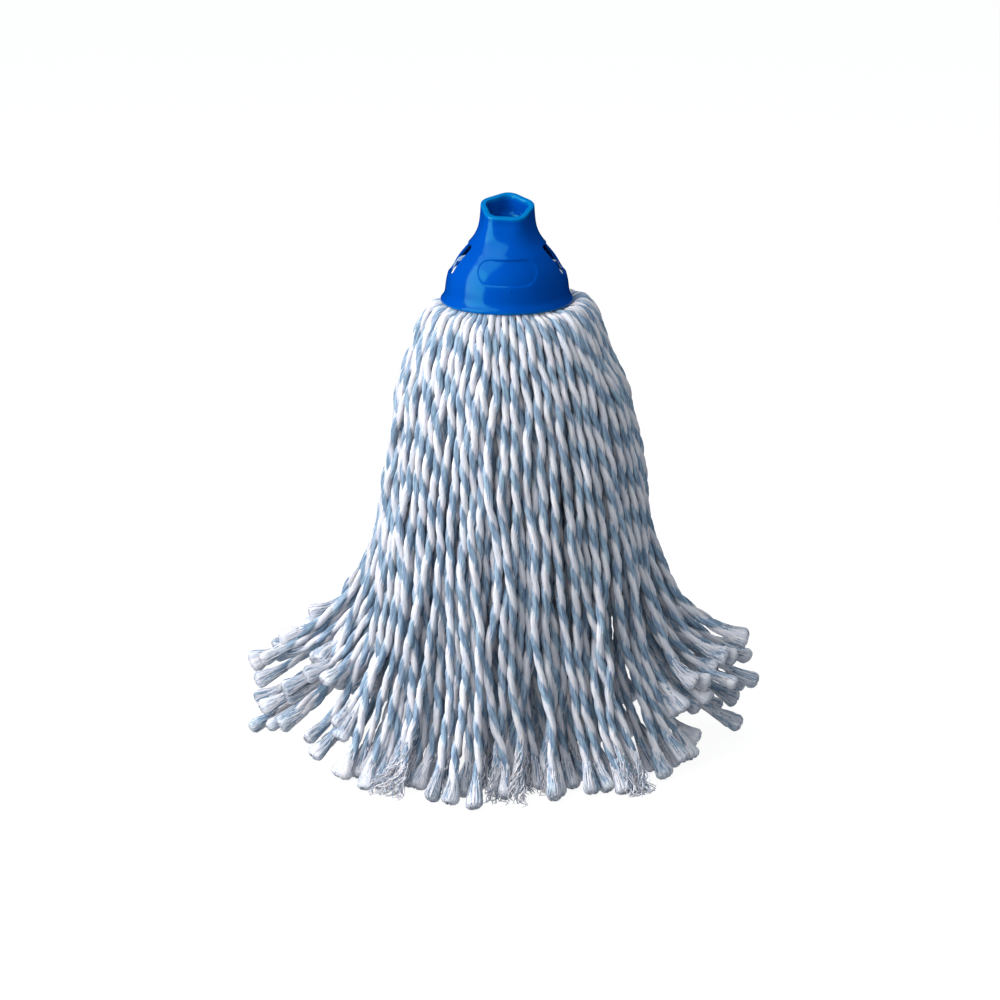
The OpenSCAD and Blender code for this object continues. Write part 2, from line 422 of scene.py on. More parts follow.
def add_strand(parts, path, radius, stretch, flat_turn, opened, start_turn, pitch, tone):
    """Twisted two-ply tube along one path.

    opened, from 0 to 1, undoes the twist and the grooves. stretch gives the section's growth along and
    across flat_turn. Returns the turn of the section at the end.
    """
    rings = len(path)
    columns = len(COLUMN_ANGLE)
    _, normal, side = (v[0] for v in frames_along(path[None]))
    steps = np.linalg.norm(np.diff(path, axis=0), axis=1)
    arc = np.concatenate([[0], np.cumsum(steps)])
    turn = start_turn + np.concatenate([[0], np.cumsum(steps * (1 - 0.9 * opened[1:]))]) * TAU / pitch
    angle = turn[:, None] + COLUMN_ANGLE
    shape = 1 - (1 - section_radius(COLUMN_ANGLE))[None] * (1 - opened[:, None])
    reach = radius[:, None] * shape
    x, y = reach * np.cos(angle), reach * np.sin(angle)
    along = x * math.cos(flat_turn) + y * math.sin(flat_turn)
    across = y * math.cos(flat_turn) - x * math.sin(flat_turn)
    along, across = along * stretch[:, :1], across * stretch[:, 1:]
    x = along * math.cos(flat_turn) - across * math.sin(flat_turn)
    y = along * math.sin(flat_turn) + across * math.cos(flat_turn)
    ring = path[:, None] + x[..., None] * normal[:, None] + y[..., None] * side[:, None]
    grown = np.mean(stretch, 1)[:, None] * YARN_R
    offset = start_turn * 100 + tone * 900
    far = np.broadcast_to(arc[:, None] + offset, x.shape)
    place = np.stack([grown * np.cos(angle), grown * np.sin(angle), far], -1)
    ply = np.sin(COLUMN_ANGLE) * (1 - 0.75 * opened[:, None]) + 0.35 * opened[:, None]
    quads = grid_faces(rings, columns)
    c = np.arange(columns)
    n = (c + 1) % columns
    last = (rings - 1) * columns
    top, bottom = np.full(columns, rings * columns), np.full(columns, rings * columns + 1)
    tris = np.concatenate([np.stack([n, c, top], -1), np.stack([last + c, last + n, bottom], -1)])
    points = np.concatenate([ring.reshape(-1, 3), path[:1], path[-1:]])
    where = np.concatenate([place.reshape(-1, 3), np.array([[0, 0, offset], [0, 0, offset + arc[-1]]])])
    # The frayed end is painted lighter, against the shade among its hairs.
    paler = tone + END_PAINTED_LIGHT * opened
    tones = np.append(np.repeat(paler, columns), [tone, paler[-1]])
    parts.add(points, quads, tris, where, np.append(ply.ravel(), [0, 0]), tones)
    return turn[-1]


def add_fibres(parts, path, radius, ply, tone, offset):
    """Thin three-sided hairs along paths (hairs, rings, 3), which end in a point."""
    hairs, rings = path.shape[:2]
    _, normal, side = frames_along(path)
    angle = np.arange(3) * TAU / 3
    taper = np.linspace(1, 0.55, rings)
    reach = (radius[:, None] * taper)[:, :, None, None]
    ring = path[:, :, None] + reach * (
        np.cos(angle)[:, None] * normal[:, :, None] + np.sin(angle)[:, None] * side[:, :, None]
    )
    tip = path[:, -1:] + (path[:, -1:] - path[:, -2:-1]) * 0.25
    points = np.concatenate([ring.reshape(hairs, -1, 3), tip], 1)
    size = rings * 3 + 1
    base = (np.arange(hairs) * size)[:, None, None]
    quads = (grid_faces(rings, 3)[None] + base).reshape(-1, 4)
    last = (rings - 1) * 3
    point = size - 1
    caps = [[last + k, last + (k + 1) % 3, point] for k in range(3)] + [[2, 1, 0]]
    tris = (np.array(caps)[None] + base).reshape(-1, 3)
    along = np.concatenate([np.repeat(np.arange(rings), 3), [rings]]) * 2.0
    place = np.stack(
        [
            np.repeat(offset[:, None], size, 1),
            np.repeat(offset[:, None] * 0.37, size, 1),
            np.broadcast_to(along, (hairs, size)),
        ],
        -1,
    )
    ply, tone = np.repeat(ply, size), np.repeat(tone, size)
    parts.add(points.reshape(-1, 3), quads, tris, place.reshape(-1, 3), ply, tone)


# ---- routes of the strands ----------------------------------------------------------------------------

POINTS = 90
LIP_CLEAR = 3.2
NEAR = 6.4
MOUTH_RINGS = (34.6, 30.6, 26.8)
RING_SHIFTS = (0.25, -0.25, 0.1)
LAYERS = (0, 1, 2.2)
PER_RING = 4
CORE_STRANDS = 8
CORE_R = 22
GOLDEN_TURN = 0.381966
TIP_RANKS = ((1.0, 0.5, 0.85, 0.25), (0.8, 0.15, 0.65, 0.05), (0.6, 0.4, 0.7, 0.12))
# Radius and depth under the lip of the outer layer, from the mouth to where the foot's flare begins.
MOUTH_CURVE = [(34.6, -3), (36.4, 1.8)]
FRONT_CURVE = np.array(
    MOUTH_CURVE
    + [(39.6, 4.6), (42.5, 6.5), (45.5, 10), (49.3, 15.5), (54, 24), (59, 36)]
    + [(65, 52), (69, 69), (72.5, 87), (75.8, 108), (80, 135)]
)
LEFT_CURVE = np.array(
    MOUTH_CURVE
    + [(39.6, 3.6), (42.3, 3.4), (45, 6.5), (48, 12.5), (52.5, 22), (57, 34)]
    + [(62, 50), (64.8, 68), (67.6, 87), (70.6, 108), (76, 135)]
)
RIGHT_CURVE = np.array(
    MOUTH_CURVE
    + [(39.6, 3.4), (43.5, 1), (47.5, 2.5), (51.5, 8), (55.5, 18), (60, 31)]
    + [(68.5, 50), (73.4, 68), (77.6, 87), (81, 108), (85, 135)]
)
# Radius and height of the side tufts' ends, from the lowest to the highest.
LEFT_TIPS = np.array([(163, 7), (155, 21), (160, 36), (154, 50), (143, 60), (120, 76.0)])
RIGHT_TIPS = np.array([(144, 3), (146, 15), (150, 33), (152, 46), (148, 57), (146, 66.0)])
# Radius and height, in metres, of a point under the lip in the direction of each outer bundle.
BEND_END = (0.050, (LIP_Z - 24) * MM)


class Strands:
    """Route and owner of every strand, one entry each."""

    def __init__(self):
        self.route, self.owner = [], []

    def add(self, owner, mouth_r, phi, layer, rank, inward=1.0, reach=1.0):
        """Draws one strand from the mouth to its end on the floor or in a side tuft.

        layer sets how far under the outer layer it hangs, rank lifts the end of a side strand off the
        floor, and inward under 1 draws it in to stand in the middle. reach lengthens its way out.
        """
        toward = math.cos(phi)
        right, left = max(toward, 0) ** 2, max(-toward, 0) ** 2
        curve = right * RIGHT_CURVE + left * LEFT_CURVE + (1 - right - left) * FRONT_CURVE
        t = smooth(np.arange(len(curve)) / 4)
        r = curve[:, 0] - (MOUTH_RINGS[0] - mouth_r) * (1 - t) - 4.6 * layer * t
        depth = curve[:, 1] + 3.9 * layer * smooth(np.arange(len(curve)) / 2)
        r = inward * r + (1 - inward) * mouth_r * (1 + 0.35 * t)
        off = abs(math.remainder(phi, math.pi))
        side = float(1 - smooth((off - 0.3) / 0.4)) if inward == 1.0 else 0.0
        ranks = np.linspace(0, 1, len(LEFT_TIPS))
        tips = RIGHT_TIPS if toward > 0 else LEFT_TIPS
        tip = np.array([np.interp(rank, ranks, tips[:, 0]), np.interp(rank, ranks, tips[:, 1])])
        foot_r = foot_reach(phi) * (1 - 0.12 * layer) * inward * reach
        foot = np.array([foot_r, 2.0]) + rng.normal(0, 1, 2) * (4, 0)
        tip[0] *= 1 - 0.02 * layer - 0.14 * float(smooth((off - 0.08) / 0.25))
        end = side * tip + (1 - side) * foot
        start = np.array([r[-1], LIP_Z - depth[-1]])
        size = math.dist(start, end)
        lean = math.radians((38 + side * (27 + 12 * rank)) * inward)
        first = np.array([r[-1] - r[-2], depth[-2] - depth[-1]])
        first *= size * (1 + 0.4 * side * rank) / np.linalg.norm(first)
        last = size * (1.1 - 0.2 * side * rank) * np.array([math.sin(lean), -math.cos(lean)])
        u = np.linspace(0, 1, 8)[1:, None]
        tail = (2 * u**3 - 3 * u**2 + 1) * start + (u**3 - 2 * u**2 + u) * first
        tail = tail + (3 * u**2 - 2 * u**3) * end + (u**3 - u**2) * last
        knots = np.concatenate([np.stack([r, LIP_Z - depth], -1), tail])
        knots = np.stack([knots[:, 0], 0 * knots[:, 0], knots[:, 1]], -1)
        path, length = resample(knots[None], POINTS)
        radius, z = path[0, :, 0], path[0, :, 2]
        s = np.linspace(0, length[0], POINTS)
        drift = rng.gamma(2.0, 0.5)
        sway = 1.7 * drift * np.sin(s * TAU / rng.uniform(90, 150) + rng.uniform(0, TAU))
        sway *= smooth((s - 15) / 60)
        ripple = smooth((s - 6) / 28) * (1 - 0.65 * smooth((s - 50) / 60))
        sway += 1.1 * np.sin(s * TAU / rng.uniform(26, 44) + rng.uniform(0, TAU)) * ripple
        sway += smooth((s - 140) / 140) * rng.normal(0, 7)
        wave = np.sin(s * TAU / rng.uniform(50, 90) + rng.uniform(0, TAU))
        radius = radius + wave * smooth((s - 20) / 60)
        turn = phi + rng.normal(0, 0.012) * smooth((s - 5) / 45) + sway / np.maximum(radius, 20)
        self.route.append(np.stack([radius * np.cos(turn), radius * np.sin(turn), z], -1))
        self.owner.append(owner)


def plan_strands():
    """Twelve strands for each outer bundle, in three rings at the mouth, and those of the core."""
    plan = Strands()
    sector = TAU / len(BUNDLES)
    for n, name in enumerate(BUNDLES):
        x, y, _ = HINGES[name]["pos_m"]
        middle = math.atan2(y, x)
        for ring, mouth_r in enumerate(MOUTH_RINGS):
            for k in range(PER_RING):
                offset = (k - (PER_RING - 1) / 2 + RING_SHIFTS[ring]) / PER_RING * sector
                rank = TIP_RANKS[ring][(k + n) % PER_RING]
                plan.add(name, mouth_r, middle + offset, LAYERS[ring], rank)
    # One more strand at the front lies further out than its neighbours.
    plan.add(BUNDLES[12], 33.5, math.radians(256), LAYERS[0], 0.0, reach=1.13)
    count = CORE_STRANDS * len(CORES)
    for k in range(count):
        mouth_r = CORE_R * math.sqrt((k + 0.5) / count)
        phi = (k * TAU * GOLDEN_TURN) % TAU
        name = CORES[int(phi / TAU * len(CORES))]
        inward = 0.1 + 0.6 * mouth_r / CORE_R
        plan.add(name, mouth_r, phi, LAYERS[2], 0.0, inward)
    return plan


def near_pairs(points, reach, strand):
    """Pairs of points of different strands that are closer than reach, found on a grid of cells."""
    cell = np.floor(points / reach).astype(np.int64)
    cell -= cell.min(0) - 1
    size = cell.max(0) + 2
    key = (cell[:, 0] * size[1] + cell[:, 1]) * size[2] + cell[:, 2]
    order = np.argsort(key, kind="stable")
    sorted_key = key[order]
    first, second = [], []
    for dx in (0, 1):
        for dy in (-1, 0, 1):
            for dz in (-1, 0, 1):
                if (dx, dy, dz) < (0, 0, 0):
                    continue
                other = key + (dx * size[1] + dy) * size[2] + dz
                low = np.searchsorted(sorted_key, other, "left")
                high = np.searchsorted(sorted_key, other, "right")
                many = high - low
                a = np.repeat(np.arange(len(key)), many)
                within = np.arange(len(a)) - np.repeat(np.cumsum(many) - many, many)
                b = order[within + np.repeat(low, many)]
                keep = a < b if (dx, dy, dz) == (0, 0, 0) else np.ones(len(a), bool)
                first.append(a[keep])
                second.append(b[keep])
    a, b = np.concatenate(first), np.concatenate(second)
    apart = strand[a] != strand[b]
    a, b = a[apart], b[apart]
    close = np.sum((points[a] - points[b]) ** 2, 1) < reach**2
    return a[close], b[close]


def settle(route, length, rounds):
    """Pushes touching strands apart, keeps their lengths and bends, and clears the floor and lip."""
    strands, count = route.shape[:2]
    x = route.copy()
    s = np.linspace(0, 1, count)[None] * length[:, None]
    radius = MOUTH_YARN_R + (YARN_R - MOUTH_YARN_R) * smooth(s / MOUTH_LEN)
    radius = radius.ravel()
    strand = np.repeat(np.arange(strands), count)
    step = (length / (count - 1))[:, None, None]
    bend = route[:, 1:-1] - (route[:, :-2] + route[:, 2:]) / 2
    fixed = x[:, :2].copy()
    for k in range(rounds):
        pull = 0.02 if k < rounds * 0.4 else 0.006
        x += pull * (route - x)
        x[:, 1:-1] += 0.3 * ((x[:, :-2] + x[:, 2:]) / 2 + bend - x[:, 1:-1])
        flat = x.reshape(-1, 3)
        if k % 5 == 0:
            a, b = near_pairs(flat, NEAR, strand)
        for _ in range(2):
            gap = flat[a] - flat[b]
            distance = np.maximum(np.linalg.norm(gap, axis=1), 1e-4)
            deep = radius[a] + radius[b] - distance
            hit = deep > 0
            push = (0.35 * deep[hit] / distance[hit])[:, None] * gap[hit]
            for axis in range(3):
                flat[:, axis] += np.bincount(a[hit], push[:, axis], len(flat))
                flat[:, axis] -= np.bincount(b[hit], push[:, axis], len(flat))
        x = flat.reshape(strands, count, 3)
        for _ in range(2):
            for start in (0, 1):
                p, q = x[:, start:-1:2], x[:, start + 1 :: 2]
                d = q - p
                size = np.linalg.norm(d, axis=2, keepdims=True)
                move = 0.5 * (1 - step / np.maximum(size, 1e-6)) * d
                p += move
                q -= move
        x[..., 2] = np.maximum(x[..., 2], YARN_R)
        r = np.hypot(x[..., 0], x[..., 1])
        across = x[..., 0] / np.maximum(r, 1e-6)
        allow = 4.5 * smooth((across - 0.6) / 0.3) + 2.5 * smooth((-across - 0.7) / 0.25)
        top = np.where(r > LIP_R, LIP_Z - LIP_CLEAR + allow, np.inf)
        z = np.minimum(x[..., 2], top)
        dr, dz = r - (LIP_R - 1.1), np.minimum(z - LIP_Z - 0.6, 0)
        away = np.maximum(np.hypot(dr, dz), 1e-6)
        push = np.maximum(LIP_CLEAR - away, 0) / away
        x[..., :2] *= (1 + push * dr / np.maximum(r, 1e-6))[..., None]
        x[..., 2] = z + push * dz
        x[:, :2] = fixed
    return x


# ---- strand ends --------------------------------------------------------------------------------------


def beyond(path, places, droop):
    """Points at arc lengths from the last point of one path, which runs on straight and droops."""
    steps = np.linalg.norm(np.diff(path, axis=0), axis=1)
    arc = np.concatenate([[0], np.cumsum(steps)])
    inside = np.stack([np.interp(arc[-1] + places, arc, path[:, i]) for i in range(3)], -1)
    ahead = np.maximum(places, 0)[..., None]
    way = path[-1] - path[-4]
    way = way / np.linalg.norm(way)
    out = inside + ahead * way
    out[..., 2] -= droop * ahead[..., 0] ** 2
    return out


def flare(before_end):
    """0 to 1 over the last stretch of a strand, from how far a point lies before its end."""
    return np.clip(1 - before_end / FLARE_LEN, 0, 1) ** 1.6


def dome(ahead):
    """Share of a brush's section that its rounded end leaves, this far ahead of the strand's end."""
    return np.sqrt(np.clip(1 - (np.maximum(ahead + 3.5, 0) / 4.4) ** 2, 0.1, 1))


def fray(parts, path, turn, tone, brush, flat_turn, spread):
    """Fibres at a strand's end: the skin and fringe of a flared brush, or loose curly singles."""
    count = 110 if brush else 38
    rings = 8 if brush else 15
    length = rng.uniform(0.4, 1.0, count) * FLARE_LEN if brush else rng.uniform(24, 40, count)
    reach = rng.uniform(-0.9, 0.7, count) if brush else rng.uniform(-4, 8, count)
    alpha = rng.uniform(0, TAU, count)
    depth = rng.uniform(0.86, 1.02, count) if brush else np.sqrt(rng.uniform(0.05, 1, count))
    t = np.linspace(0, 1, rings)[None]
    places = reach[:, None] - length[:, None] * (1 - t)
    centre = beyond(path, places, 0.004 if brush else 0.01)
    _, normal, side = frames_along(path[None])
    n, b = normal[0, -1], side[0, -1]
    base = YARN_R * 0.98 * depth[:, None]
    grown = flare(-places)
    grow_a = 1 + (spread - 1) * grown
    grow_b = 1 + (0.4 if brush else 0.8) * (spread - 1) * grown
    local = alpha[:, None] + turn
    x, y = base * np.cos(local - flat_turn) * grow_a, base * np.sin(local - flat_turn) * grow_b
    u = x * math.cos(flat_turn) - y * math.sin(flat_turn)
    v = x * math.sin(flat_turn) + y * math.cos(flat_turn)
    wave = 0.22 if brush else 2.8
    for _ in range(2):
        size = rng.uniform(0.1, 1.0, (count, 1)) ** 1.5 * wave * t**0.8
        where = places * TAU / rng.uniform(9, 20, (count, 1)) + rng.uniform(0, TAU, (count, 1))
        u = u + size * np.sin(where)
        v = v + size * np.cos(where)
    if brush:
        u, v = u * dome(places), v * dome(places)
    hairs = centre + u[..., None] * n + v[..., None] * b
    hairs[..., 2] = np.maximum(hairs[..., 2], HAIR_LOW)
    radius = rng.uniform(0.34, 0.55, count) if brush else rng.uniform(0.4, 0.62, count)
    ply = rng.normal(0.3, 0.7, count) if brush else rng.normal(0.6, 0.6, count)
    # The hairs are painted lighter, against the shade among them.
    tones = np.full(count, tone + END_PAINTED_LIGHT)
    add_fibres(parts, hairs, radius, ply, tones, rng.uniform(0, 900, count))


def add_fuzz(parts, path, count, tone):
    """Fine stray hairs that stand off a strand."""
    size = path.shape[0]
    start = rng.integers(8, size - 12, count)
    tangent, normal, side = (v[0] for v in frames_along(path[None]))
    angle = rng.uniform(0, TAU, count)
    out = np.cos(angle)[:, None] * normal[start] + np.sin(angle)[:, None] * side[start]
    length = rng.uniform(5, 13, count)
    t = np.linspace(0, 1, 6)[None, :, None]
    lift = rng.uniform(0.8, 3.6, count)[:, None, None]
    curl = np.cross(out, tangent[start])[:, None] * rng.normal(0, 1.6, count)[:, None, None]
    hairs = path[start][:, None] + out[:, None] * (YARN_R * 0.9 + lift * t**1.6) + curl * t**2
    hairs = hairs + tangent[start][:, None] * length[:, None, None] * t
    hairs[..., 2] = np.maximum(hairs[..., 2], FUZZ_LOW)
    ply = rng.uniform(-1, 1, count)
    radius, tones = np.full(count, 0.09), np.full(count, tone)
    add_fibres(parts, hairs, radius, ply, tones, rng.uniform(0, 900, count))


# ---- yarn ---------------------------------------------------------------------------------------------


def make_strands():
    """One piece for each outer bundle and one for each bundle of the core."""
    plan = plan_strands()
    route = np.array(plan.route)
    length = np.sum(np.linalg.norm(np.diff(route, axis=1), axis=2), 1)
    route = settle(route, length, 160)
    rings = int(STRAND_LEN / RING_STEP)
    path, length = resample(route, rings)
    path[..., 2] = np.maximum(path[..., 2], PATH_LOW)
    owner = np.array(plan.owner)
    for name in BUNDLES + CORES:
        parts = MeshParts()
        for i in np.flatnonzero(owner == name):
            end = path[i, -1]
            side = abs(end[0]) / max(math.hypot(end[0], end[1]), 1)
            brush = rng.random() < 0.55 + 0.45 * side
            tone, flat_turn, spread = rng.random(), rng.uniform(0, TAU), rng.uniform(2.3, 3.2)
            s = np.linspace(0, length[i], rings)
            grown = flare(length[i] - s)
            radius = YARN_R * rng.uniform(0.99, 1.15) * (0.74 + 0.26 * smooth(s / MOUTH_LEN))
            radius = radius * (1 + 0.035 * np.sin(s / rng.uniform(6, 9) + rng.uniform(0, TAU)))
            if brush:
                stretch = 1 + (spread - 1) * grown[:, None] * np.array([0.95, 0.4])
                stretch *= dome(s - length[i])[:, None]
            else:
                stretch = np.repeat((1 - 0.6 * grown)[:, None], 2, 1)
            pitch = PLY_PITCH * rng.uniform(0.9, 1.12)
            start_turn = rng.uniform(0, TAU)
            look = (flat_turn, grown, start_turn, pitch, tone)
            turn = add_strand(parts, path[i], radius, stretch, *look)
            fray(parts, path[i], turn, tone, brush, flat_turn, spread)
            add_fuzz(parts, path[i], FUZZ_COUNT, tone)
        piece = parts.build(name.replace("yarn_", "yarn_strands_"))
        if name in HINGES:
            joint = HINGES[name]
            x, y, _ = joint["pos_m"]
            out = np.array([x, y, 0]) / math.hypot(x, y)
            end = out * BEND_END[0] + np.array([0, 0, BEND_END[1]])
            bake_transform(piece)
        else:
            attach(piece, "root")
        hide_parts(name)


def make_folds():
    """Folded middles of the strands: loops over the retainer's ring that fill the bell to the windows.

    The loops leave room for the retainer's two arms, and lie further out where a window is.
    """
    parts = MeshParts()
    count = 50
    size = 2.2
    wall_r, arm_half, window_half = 31, 6.5, 14
    for k in range(count):
        phi = (k + rng.normal(0, 0.12)) * TAU / count
        across = abs(wall_r * math.sin(phi))
        if across < arm_half:
            continue
        at_window = across < window_half
        top = rng.uniform(17, 19) + (2.5 if math.cos(phi) < 0 else 0)
        h = np.array([2, 7, 12, 16, top - 3, top, top + 1.5, top + 1, top - 4, 14, 8])
        wall = outer_radius(h, phi) - (1.4 if at_window else WALL + 0.4) - size
        wall[:3] = outer_radius(h[:3], phi) - WALL - 0.4 - size
        r = np.minimum(wall, np.array([40, 40, 40, 40, 40, 40, 25, 21, 17.5, 16.5, 16.5]))
        turn = phi + np.linspace(-1, 1, len(r)) * rng.normal(0, 0.05)
        knots = np.stack([r * np.cos(turn), r * np.sin(turn), LIP_Z + h], -1)
        path = resample(knots[None], 36)[0][0]
        closed, even = np.zeros(len(path)), np.ones((len(path), 2))
        radius = np.full(len(path), size)
        add_strand(parts, path, radius, even, 0.0, closed, rng.uniform(0, TAU), PLY_PITCH, rng.random())
    piece = parts.build("yarn_folds")
    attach(piece, "root")
    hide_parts("yarn_crown")


# ---- bell ---------------------------------------------------------------------------------------------

WALL = 2.2
LIP_LOW = -0.8
LOBES = math.radians(13)
RIM_LEAN = math.tan(math.radians(17.5))
BADGE_H, BADGE_W, BADGE_TALL = 22.2, 35.0, 14.5
WINDOW_H, WINDOW_W, WINDOW_TALL, WINDOW_ROUND = 25.5, 25.0, 17.0, 4.0
BORE_CREST, BORE_ROOT, BORE_PITCH, BORE_LEN = 10.2, 11.1, 5.0, 26.0
# Steps over a window's edge, from the outer wall to the inner: how far out of the opening, how deep.
EDGE_IN = ((0.5, 0.0), (0.16, 0.12), (0.0, 0.5))
WINDOW_EDGE = EDGE_IN + tuple((out, WALL - deep) for out, deep in EDGE_IN[::-1])


def bell_columns():
    """Directions of the bell's columns: fine over the badge at the front, coarser elsewhere."""
    front = np.radians(np.arange(-124, -56, 0.5))
    rest = np.radians(np.arange(-56, 236, 1.4))
    return np.concatenate([front, rest])


def outer_radius(h, phi):
    """Outer radius of the bell at height h over the lip, round at the foot and five-lobed at the neck."""
    lobe = 0.8 * smooth((h - 28) / 24) * np.cos(5 * (phi - LOBES))
    width = np.where(np.asarray(h) < 31, 6.9, 5.3)
    return 15.35 + 22.0 / (1 + np.exp((h - 31) / width)) + 2.6 * np.exp(-((h / 3.0) ** 2)) + lobe


def recess_radius(phi):
    """Radius of the five-lobed recess in the neck's top."""
    return 12.2 + 0.75 * np.cos(5 * (phi - LOBES))


def badge_depth(x, h):
    """Depth of the blank badge at x across and h up, less the height of the gate mark under it."""
    sd = np.hypot(np.maximum(np.abs(x) - (BADGE_W - BADGE_TALL) / 2, 0), h - BADGE_H) - BADGE_TALL / 2
    floor = 0.35 + 0.6 * (1 - (2 * x / BADGE_W) ** 2)
    gate = 0.3 * np.exp(-(((x - 1.8) ** 2 + (h - 13.2) ** 2) / 0.8) ** 2)
    return floor * smooth(-sd / 0.6) - gate


def wall_heights():
    """Heights of the rings on the outer wall and, up to the cavity's top, on the inner wall."""
    low = np.array([1.1, 1.6, 2.2, 2.9, 3.7, 4.6, 5.7, 7.0, 8.4, 9.8])
    badge = np.arange(11, 33.5, 0.45)
    high = np.array([34.2, 35.2, 36.4, 37.8, 39.3, 40.8])
    return np.concatenate([low, badge, high])


def bell_rings(phi):
    """Radius, height and lean of each ring of the closed section, and the first ring of the inner wall.

    The section runs up the outer wall from the lip, down through the socket and back to the lip inside.
    """
    shared = wall_heights()
    rings = []

    def ring(r, h, lean=0.0):
        rings.append((r + 0 * phi, h + 0 * phi, lean))

    for h in shared:
        r = outer_radius(h, phi)
        x = r * np.cos(phi)
        front = np.sin(phi) < -0.5
        ring(r - np.where(front, badge_depth(x, h), 0), h)
    rim = RIM_Z - LIP_Z
    for h in np.arange(42.2, rim - 1.0, 1.25):
        ring(outer_radius(h, phi), h, smooth((h - 43) / (rim - 43)))
    top_r = outer_radius(rim, phi)
    for t in np.radians([0, 22, 45, 68, 90]):
        ring(top_r - 0.7 * (1 - math.cos(t)), rim - 0.7 * (1 - math.sin(t)), 1.0)
    inner_r = recess_radius(phi)
    for t in np.radians([90, 60, 30, 0]):
        ring(inner_r + 0.5 * (1 - math.cos(t)), rim - 0.5 * (1 - math.sin(t)), 1.0)
    ledge = BORE_TOP - LIP_Z
    for f in (0.75, 0.5, 0.25):
        ring(inner_r, ledge + f * (rim - 0.5 - ledge), f)
    ring(inner_r, ledge + 0.4)
    ring(inner_r - 0.4, ledge)
    ring((inner_r + BORE_ROOT) / 2, ledge)
    ring(BORE_ROOT + 0.35, ledge)
    for z in np.arange(ledge - 0.3, ledge - BORE_LEN, -0.42):
        phase = (z - ledge - 1 - BORE_PITCH * phi / TAU) / BORE_PITCH
        groove = np.abs((phase + 0.5) % 1 - 0.5) * BORE_PITCH
        ridge = smooth((groove - 0.75) / 0.7)
        fade = smooth((ledge - z) / 2.5) * smooth((z - ledge + BORE_LEN) / 2)
        ring(BORE_ROOT - (BORE_ROOT - BORE_CREST) * ridge * fade, z)
    foot = ledge - BORE_LEN
    sleeve = BORE_ROOT + 1.8
    ring(BORE_ROOT + 0.3, foot)
    ring(sleeve - 0.3, foot)
    ring(sleeve, foot + 0.3)
    for h in np.linspace(foot + 2.5, 39.5, 6):
        ring(sleeve, h)
    ring(sleeve + 0.5, 40.9)
    ring(np.maximum(outer_radius(40.8, phi) - WALL - 0.5, sleeve + 0.9), 41.4)
    inner_start = len(rings)
    for h in shared[::-1]:
        gap = np.maximum(outer_radius(h, phi) - WALL, sleeve + 1.2)
        ring(gap, h)
    low_r = outer_radius(0, phi)
    half = WALL / 2
    for t in np.radians([30, 60, 90, 120, 150]):
        ring(low_r - half - half * math.cos(t), LIP_LOW + (1.1 - LIP_LOW) * (1 - math.sin(t)))
    return rings, inner_start


def round_box(y, h):
    """Nearest point of the window's outline, a rounded rectangle, and the way out of it there."""
    ay, az = np.abs(y), np.abs(h - WINDOW_H)
    cy, cz = WINDOW_W / 2 - WINDOW_ROUND, WINDOW_TALL / 2 - WINDOW_ROUND
    dy, dz = ay - cy, az - cz
    corner = (dy > 0) & (dz > 0)
    wide = ~corner & (dy - WINDOW_ROUND > dz - WINDOW_ROUND)
    size = np.maximum(np.hypot(dy, dz), 1e-6)
    ny = np.where(corner, dy / size, np.where(wide, 1.0, 0.0))
    nz = np.where(corner, dz / size, np.where(wide, 0.0, 1.0))
    py = np.where(corner, cy + ny * WINDOW_ROUND, np.where(wide, WINDOW_W / 2, ay))
    pz = np.where(corner, cz + nz * WINDOW_ROUND, np.where(wide, az, WINDOW_TALL / 2))
    flip_y, flip_z = np.sign(y) + (y == 0), np.sign(h - WINDOW_H) + (h == WINDOW_H)
    return py * flip_y, WINDOW_H + pz * flip_z, ny * flip_y, nz * flip_z


def surface_x(y, h, inset, sign):
    """Where the wall, inset by some millimetres, stands at y across and h up on the side sign."""
    r = outer_radius(h, 0.0 if sign > 0 else math.pi)
    for _ in range(3):
        x = np.sqrt(np.maximum((r - inset) ** 2 - y**2, 1.0))
        r = outer_radius(h, np.arctan2(y, sign * x))
    return sign * x


